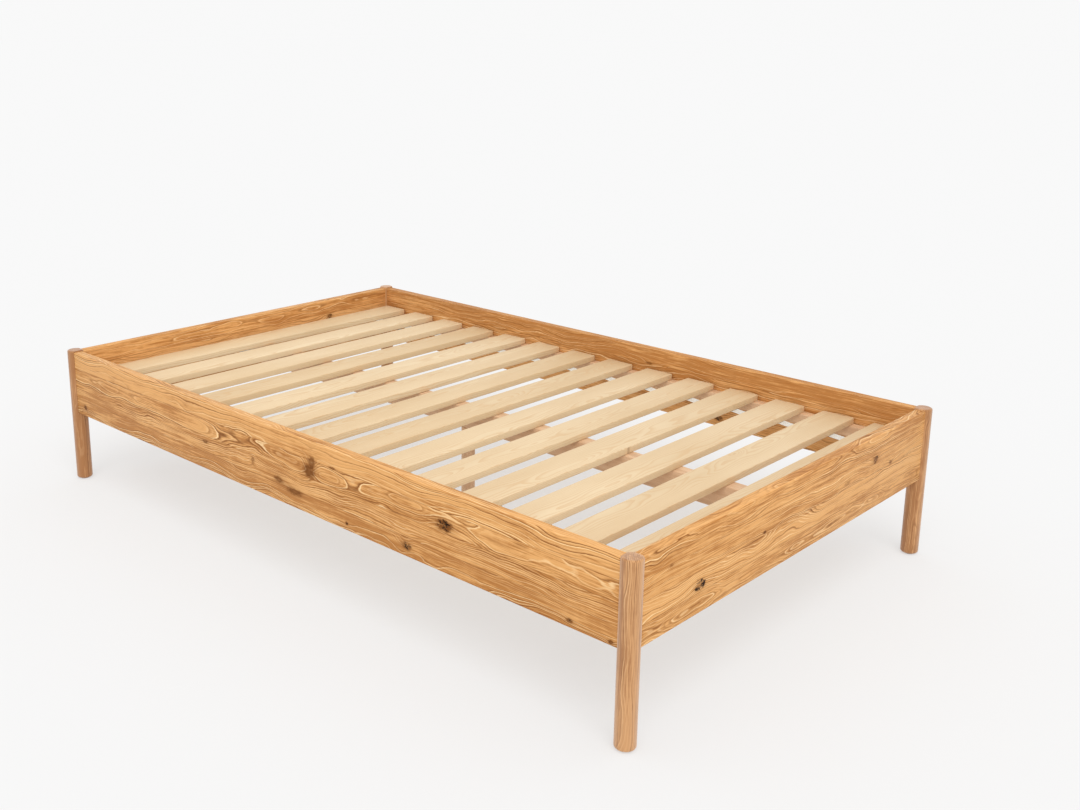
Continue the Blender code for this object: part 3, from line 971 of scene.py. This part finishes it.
def countersunk_screw(length, steel):
    """A wood screw going down from z = 0, its head flush with the surface."""
    head = COUNTERSINK_RADIUS - 0.0004
    core = SCREW_SHANK_RADIUS
    profile = [(0.0002, -length), (core, -length + 0.004), (core, -COUNTERSINK_DEPTH)]
    profile += [(head, -0.0006), (head, -0.0003), (head - 0.0003, -0.0001)]
    shape = cut(turned(profile, 40), *cross_recess(0.0019, 0.0056, 0.0011))
    return make_mesh("countersunk_screw", shape, steel)


def pan_screw(length, steel):
    """A pan-head wood screw going down from z = 0, its head above the surface."""
    head = 0.0042
    rise = 0.0024
    core = SCREW_SHANK_RADIUS
    profile = [(0.0002, -length), (core, -length + 0.004), (core, GAP), (head, GAP)]
    profile += arc((head - 0.0014, rise - 0.0014), 0.0014, 0, 80, 8)
    arms = cross_recess(0.0016, 0.0048, 0.0010)
    for arm in arms:
        arm.transform(Matrix.Translation((0, 0, rise)))
    return make_mesh("pan_screw", cut(turned(profile, 40), *arms), steel)


def place_screws(prefix, places, mesh, turns):
    """Screws at their mouths, each driven to its own angle."""
    count = 0
    for rows in places.values():
        for face, direction in rows:
            count += 1
            matrix = Matrix.Translation(face)
            matrix @= (-Vector(direction)).to_track_quat("Z", "Y").to_matrix().to_4x4()
            matrix @= Matrix.Rotation(turns * count, 4, "Z")
            make_piece(f"{prefix}_{count:02d}", mesh, "frame", (), matrix)


def build_ledgers(material, places):
    for name in SIDES:
        low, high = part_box(f"slat_ledger_{name}")
        shape = eased_bar(low, high, 0.002, 0.001)
        holes = screw_holes(places[name], True, 0.04)
        stand_for(f"slat_ledger_{name}", cut(shape, holes), material)


def build_shoes(steel, places):
    """Folded steel shoes: a back plate with wings, two cheeks and a seat under the beam."""
    beam_low, beam_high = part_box("middle_beam")
    for name, end in ENDS.items():
        low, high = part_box(f"beam_shoe_{name}")
        back = high.y if end > 0 else low.y
        front = low.y if end > 0 else high.y
        inner = beam_high.x + GAP
        outer = inner + SHOE_STEEL
        plate = back - end * SHOE_STEEL
        right = [(high.x, back), (high.x, plate), (outer, plate)]
        right += [(outer, front), (inner, front), (inner, plate)]
        outline = right + [(-x, y) for x, y in reversed(right)]
        shape = extruded([(x, y, low.z) for x, y in outline], (0, 0, high.z - low.z))
        half = inner + SHOE_STEEL / 2
        near, far = sorted((back - end * SHOE_STEEL / 2, front + end * SHOE_STEEL / 2))
        seat_top = beam_low.z - GAP
        seat = box_shape((-half, near, seat_top - SHOE_STEEL), (half, far, seat_top))
        holes = screw_holes(places[name], False, 2 * SHOE_STEEL)
        shape = combine(shape, [("UNION", seat)])
        edges = [line for line in shape.edges if line.calc_face_angle(0) > math.radians(60)]
        bevel_edges(shape, edges, SHOE_EDGE, 2)
        stand_for(f"beam_shoe_{name}", cut(shape, holes), steel)


def build_beam(material, post_material, steel):
    low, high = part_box("middle_beam")
    bolt_low, bolt_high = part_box("support_leg_bolt")
    bore = turned([(BORE_RADIUS, bolt_low.z - GAP), (BORE_RADIUS, bolt_high.z + GAP)], 32)
    stand_for("middle_beam", cut(eased_bar(low, high, 0.003, 0.001), bore), material)

    length = bolt_high.z - bolt_low.z
    lower_thread = (0, length * 0.42, WOOD_PITCH, WOOD_DEPTH)
    upper_thread = (length * 0.58, length, M8_PITCH, M8_DEPTH)
    bolt = rod(0, length, [lower_thread, upper_thread])
    bolt.transform(Matrix.Translation((0, 0, bolt_low.z)) @ X_TO_Z)
    stand_for("support_leg_bolt", bolt, steel)

    low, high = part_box("support_leg")
    radius = (high.x - low.x) / 2
    profile = post_profile(radius, low.z, high.z, SUPPORT_EDGE, SUPPORT_EDGE, (6, 6))
    upper = turned([(BORE_RADIUS, bolt_low.z - GAP), (BORE_RADIUS, high.z + 0.01)], 32)
    lower = turned([(BORE_RADIUS, low.z - 0.01), (BORE_RADIUS, STEM_BORE_TOP)], 32)
    stand_for("support_leg", cut(turned(profile, 96), upper, lower), post_material)


def build_levelling_foot(steel):
    """A domed steel glide with a hex collar and an M8 stem."""
    low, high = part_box("levelling_foot")
    radius = (high.x - low.x) / 2
    rim = 0.005
    rounding = 0.002
    collar_bottom = 0.009
    collar_top = 0.014
    corner = 0.0065
    dome = [(radius - 0.0006, 0.0), (radius, 0.0006)]
    dome += arc((radius - rounding, rim), rounding, 0, 70, 8)
    dome += [(0.010, 0.0078), (0.0072, collar_bottom), (0.0045, collar_bottom + GAP)]
    shape = turned(dome, 96)
    collar = turned([(corner, 0.007), (corner, collar_top)], 6)
    stem_start = 0.010
    stem = rod(stem_start, high.z, [(collar_top, high.z, M8_PITCH, M8_DEPTH)])
    stem.transform(X_TO_Z)
    shape = combine(shape, [("UNION", collar), ("UNION", stem)])
    stand_for("levelling_foot", shape, steel, "levelling_foot")


# Slatted base


def build_slats(material):
    for i in range(SLAT_COUNT):
        node_name = f"slat_{i + 1:02d}"
        low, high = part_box(node_name)
        stand_for(node_name, eased_bar(low, high, 0.0022, 0.0012), material, "slatted_base")


def tape_drop(y, slat_places, slat_half):
    """How far a tape hangs below the slats at a place along the bed."""
    away = min(abs(y - place) for place in slat_places)
    half_gap = (slat_places[1] - slat_places[0]) / 2
    share = max(0.0, (away - slat_half) / (half_gap - slat_half))
    return TAPE_SAG * math.sin(share * math.pi / 2)


def build_tapes(material, steel):
    """Two woven tapes under the slats, stapled to each, hanging a little between them."""
    slat_places = [middle_of(f"slat_{i + 1:02d}").y for i in range(SLAT_COUNT)]
    slat_low, slat_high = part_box("slat_01")
    slat_half = (slat_high.y - slat_low.y) / 2
    staple_mesh = make_mesh("staple", staple(), steel)
    for name, side in SIDES.items():
        node_name = f"slat_tape_{name}"
        low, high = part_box(node_name)
        middle = (low.x + high.x) / 2
        half = (high.x - low.x) / 2
        edge = 0.0004
        thick = high.z - low.z
        columns = 12
        lower = [(-half + edge + (2 * half - 2 * edge) * i / columns, 0) for i in range(columns + 1)]
        outline = [(-half, edge), *lower, (half, edge)]
        outline += [(x, thick - z) for x, z in reversed(outline)]
        steps = 12 * 2 * SLAT_COUNT
        rings = []
        for i in range(steps + 1):
            y = low.y + (high.y - low.y) * i / steps
            drop = tape_drop(y, slat_places, slat_half)
            wander = 0.0006 * math.sin(y * 9 + side)
            rings.append([(middle + wander + x, y, low.z - drop + z) for x, z in outline])
        tape = stand_for(node_name, skinned(rings), material, "slatted_base")
        for i, y in enumerate(slat_places):
            for j, offset in enumerate((-STAPLE_OFFSET, STAPLE_OFFSET)):
                matrix = Matrix.Translation((middle, y + offset, low.z))
                matrix @= Matrix.Rotation(0.12 * math.sin(5 * i + 3 * j + side), 4, "Z")
                make_piece(f"staple_{name}_{i + 1:02d}_{j + 1}", staple_mesh, "slatted_base", (), matrix)


def staple():
    """A wire staple pressed up into the wood, its crown just under z = 0."""
    half = 0.0055
    wire = 0.00055
    bend = 0.0010
    path = [(-half, 0.008)]
    path += [(x, z) for x, z in arc((-half + bend, bend - wire), bend, 180, 270, 4)]
    path += [(x, z) for x, z in arc((half - bend, bend - wire), bend, 270, 360, 4)]
    path.append((half, 0.008))
    rings = []
    for i, point in enumerate(path):
        before = Vector(path[max(0, i - 1)])
        after = Vector(path[min(len(path) - 1, i + 1)])
        run = (after - before).normalized()
        across = Vector((-run.y, run.x))
        ring = []
        for step in range(8):
            angle = 2 * math.pi * step / 8
            offset = across * (wire * 0.7 * math.cos(angle))
            ring.append((point[0] + offset.x, wire * math.sin(angle), point[1] + offset.y))
        rings.append(ring)
    return skinned(rings)


# Stage, light and camera


STUDIO_LIGHT = 0.945  # radiance of the walls, and of the open floor under the key light
KEY_POWER = 1.35
KEY_SPREAD = 50.0  # degrees
KEY_DIRECTION = Vector((0.55, 0.62, -1.0)).normalized()
FLOOR_GREY = 0.34

# The camera as fitted to the photo, in metres, degrees and millimetres; heading 0 looks along +X
CAMERA_PLACE = (-2.3152, -2.2346, 1.3606)
CAMERA_HEADING = 43.441
CAMERA_DOWN = 14.442
CAMERA_ROLL = 0.362
CAMERA_LENS = 40.61
CAMERA_SHIFT = (0.0556, -0.0694)


def build_stage():
    """A wide pale floor that glows just enough to look as bright as the studio behind it."""
    shape = bmesh.new()
    reach = 60.0
    corners = [(-reach, -reach), (reach, -reach), (reach, reach), (-reach, reach)]
    shape.faces.new([shape.verts.new((x, y, 0.0)) for x, y in corners])
    material, _, shader = new_material("studio_floor", "stage")
    reflected = FLOOR_GREY * (STUDIO_LIGHT + KEY_POWER * -KEY_DIRECTION.z / math.pi)
    finish_shader(
        shader,
        Base_Color=(FLOOR_GREY,) * 3,
        Roughness=1.0,
        Specular_IOR_Level=0.0,
        Emission_Color=(1, 1, 1),
        Emission_Strength=STUDIO_LIGHT - reflected,
    )
    floor = new_object("studio_floor", make_mesh("studio_floor", shape, material))


def build_light():
    world = bpy.data.worlds.new("studio")
    world.use_nodes = True
    background = world.node_tree.nodes["Background"]
    background.inputs["Color"].default_value = (1.0, 1.0, 1.0, 1.0)
    background.inputs["Strength"].default_value = STUDIO_LIGHT
    bpy.context.scene.world = world
    light = bpy.data.lights.new("key_light", "SUN")
    light.angle = math.radians(KEY_SPREAD)
    light.energy = KEY_POWER
    lamp = new_object("key_light", light)
    lamp.rotation_euler = KEY_DIRECTION.to_track_quat("-Z", "Y").to_euler()


def build_camera():
    data = bpy.data.cameras.new("camera")
    data.sensor_width = 36.0
    data.lens = CAMERA_LENS
    data.shift_x, data.shift_y = CAMERA_SHIFT
    camera = new_object("camera", data)
    camera.matrix_world = (
        Matrix.Translation(CAMERA_PLACE)
        @ Matrix.Rotation(math.radians(CAMERA_HEADING - 90), 4, "Z")
        @ Matrix.Rotation(math.pi / 2 - math.radians(CAMERA_DOWN), 4, "X")
        @ Matrix.Rotation(math.radians(CAMERA_ROLL), 4, "Z")
    )
    bpy.context.scene.camera = camera


# The staves of each rail, from the lowest up: pith across, pith behind, ring width and tone
SIDE_STAVES = (
    (-0.050, 0.045, 0.0036, 0.24),
    (0.062, 0.050, 0.0044, 0.44),
    (0.006, 0.030, 0.0046, 0.56),
    (-0.034, 0.030, 0.0054, 0.84),
)
FOOT_STAVES = (
    (0.004, 0.026, 0.0040, 0.52),
    (0.058, 0.055, 0.0046, 0.90),
    (-0.060, 0.040, 0.0032, 0.70),
    (0.030, 0.034, 0.0044, 0.50),
)
LEG_STAVES = {
    "foot_left": (0.034, 0.030, 0.0044, 0.72),
    "foot_right": (-0.028, 0.034, 0.0038, 0.20),
    "head_left": (0.030, -0.036, 0.0042, 0.04),
    "head_right": (-0.036, 0.026, 0.0040, 0.46),
}

# Knots, each as its place along and up the rail, length, width, darkness and open share
SIDE_KNOTS = (
    (-0.540, 0.319, 0.020, 0.011, 0.95, 0.95),
    (-0.089, 0.320, 0.016, 0.013, 0.90, 0.0),
    (-0.099, 0.346, 0.010, 0.012, 0.75, 0.0),
    (-0.032, 0.252, 0.024, 0.008, 0.85, 0.0),
    (-0.424, 0.235, 0.015, 0.009, 0.65, 0.70),
    (-0.174, 0.350, 0.010, 0.003, 0.70, 0.0),
    (-0.222, 0.228, 0.004, 0.004, 0.85, 0.80),
    (-0.885, 0.226, 0.007, 0.005, 0.75, 0.60),
    (-0.986, 0.218, 0.005, 0.004, 0.95, 1.00),
    (0.029, 0.267, 0.016, 0.007, 0.80, 0.0),
    (0.133, 0.289, 0.006, 0.008, 0.60, 0.0),
    (0.338, 0.287, 0.011, 0.004, 0.80, 0.0),
    (0.956, 0.238, 0.007, 0.006, 0.95, 0.80),
)
FOOT_KNOTS = (
    (-0.408, 0.273, 0.017, 0.011, 0.55, 1.20),
    (-0.510, 0.350, 0.006, 0.003, 0.70, 0.0),
    (-0.167, 0.309, 0.005, 0.003, 0.90, 0.70),
    (0.199, 0.316, 0.011, 0.005, 0.50, 0.0),
    (0.336, 0.337, 0.011, 0.008, 0.80, 0.80),
    (0.421, 0.309, 0.007, 0.004, 0.80, 0.60),
    (-0.306, 0.238, 0.050, 0.016, 0.05, 0.0),
)


def rail_oaks():
    """The oak of each rail, by node."""
    low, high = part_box("foot_rail")
    stave = (high.z - low.z) / STAVES
    oaks = {}
    settings = {
        "side_rail_left": (1, 0, 3.0, SIDE_STAVES, SIDE_KNOTS),
        "side_rail_right": (1, 0, 14.0, SIDE_STAVES[::-1], SIDE_KNOTS[4:9]),
        "foot_rail": (0, 1, 5.0, FOOT_STAVES, FOOT_KNOTS),
        "head_rail": (0, 1, 23.0, FOOT_STAVES[::-1], FOOT_KNOTS[2:6]),
    }
    for rail, (axis, depth, seed, staves, knots) in settings.items():
        oaks[rail] = oak(
            f"oak_{rail}",
            "rail_oak",
            RAIL_COLOURS,
            grain=(axis, 0.0),
            height=(2, 0.0),
            depth=(depth, middle_of(rail)[depth]),
            seed=seed,
            staves=staves,
            gloss=0.10,
            bottom=low.z,
            stave=stave,
            knots=knots,
        )
    return oaks


def leg_oaks():
    oaks = {}
    for i, end in enumerate(ENDS):
        for j, side in enumerate(SIDES):
            leg = f"{end}_{side}"
            axis = middle_of(f"felt_pad_{leg}")
            oaks[leg] = oak(
                f"oak_leg_{leg}",
                "leg_oak",
                LEG_COLOURS,
                grain=(2, 0.0),
                height=(0, axis.x),
                depth=(1, axis.y),
                seed=40.0 + 7 * i + 3 * j,
                staves=(LEG_STAVES[leg],),
                gloss=0.15,
                sheen=0.40,
                bottom=-0.5,
            )
    return oaks


def main():
    build_camera()
    joints = rail_joints()
    ledger_places = ledger_screw_places()
    shoe_places = shoe_screw_places()
    steel = zinc_steel()
    felt_material = felt()
    first = middle_of("slat_01").y
    pitch = middle_of("slat_02").y - first
    beech_along = beech("beech_bar", 1)
    beech_up = beech("beech_post", 2)

    build_legs(joints, leg_oaks())
    build_pads(felt_material)
    build_rails(joints, rail_oaks(), ledger_places, shoe_places)
    joint_hardware(joints, steel)
    build_ledgers(beech_along, ledger_places)
    build_shoes(steel, shoe_places)
    build_beam(beech_along, beech_up, steel)
    build_levelling_foot(steel)
    build_slats(pine("pine", pitch, first))
    build_tapes(webbing(), steel)
    place_screws("ledger_screw", ledger_places, countersunk_screw(LEDGER_SCREW_LENGTH, steel), 1.1)
    place_screws("shoe_screw", shoe_places, pan_screw(SHOE_SCREW_LENGTH, steel), 0.7)
    build_stage()
    build_light()
    bpy.context.scene.view_settings.view_transform = "Standard"


main()
